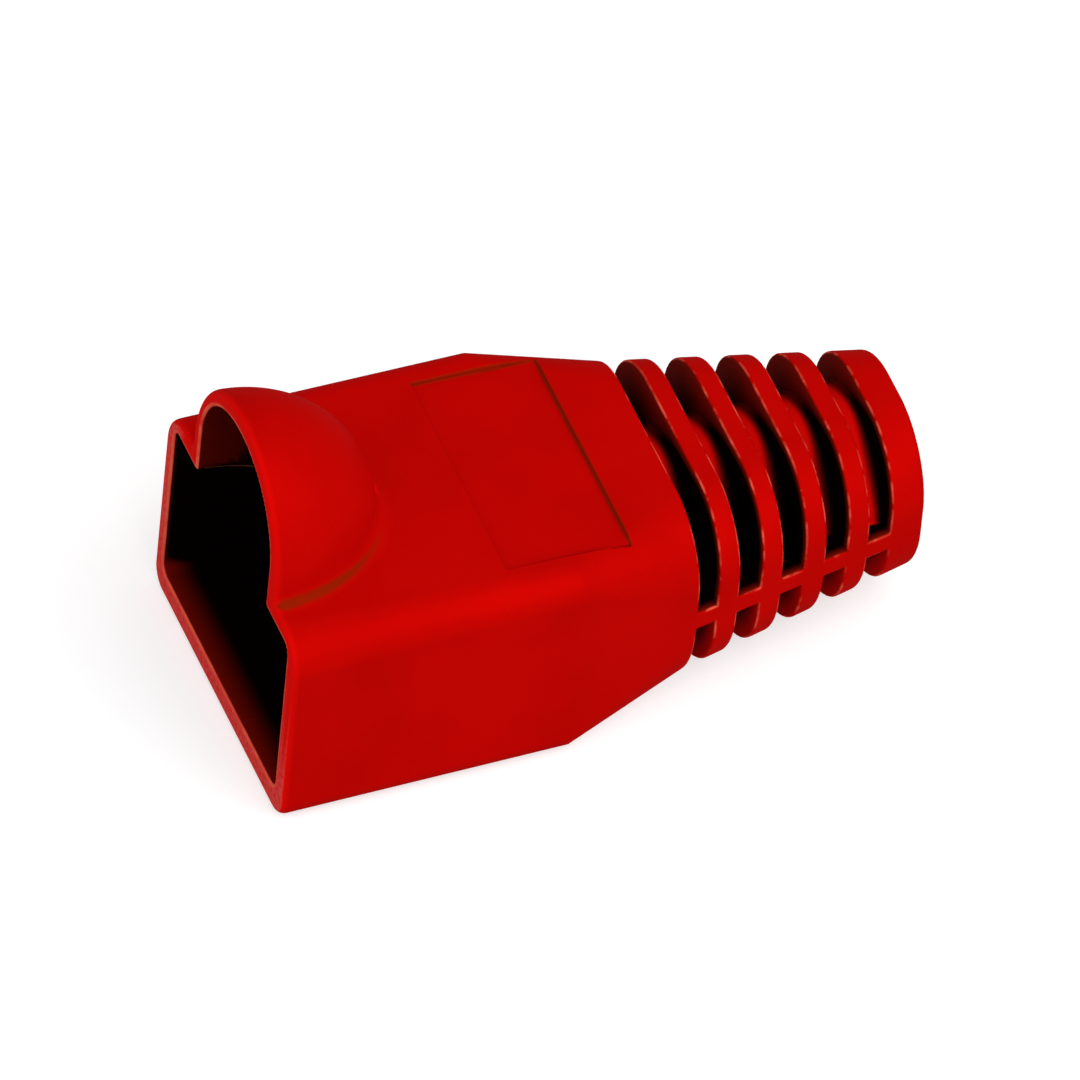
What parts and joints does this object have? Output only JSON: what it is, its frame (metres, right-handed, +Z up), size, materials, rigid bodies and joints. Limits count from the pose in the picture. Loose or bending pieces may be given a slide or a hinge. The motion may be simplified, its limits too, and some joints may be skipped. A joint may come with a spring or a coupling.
{
  "type": "rj45 strain relief boot",
  "caption": "Slip-on strain relief boot for a modular network plug: box-shaped socket with a domed latch guard and a tapering, slotted collar that bends with the cable.",
  "frame": {"origin": "middle of the flat underside's bounding rectangle: half way between the plug mouth and the cable end, on the mirror plane", "axes": "+X runs from the plug mouth to the cable end, along the cable; +Y across the boot; +Z up, towards the latch guard"},
  "size_m": [0.0276, 0.014, 0.0156],
  "materials": {
    "boot": "satin soft moulded PVC, bright red"
  },
  "bodies": {
    "root": {"boot": "boot"}
  },
  "joints": []
}
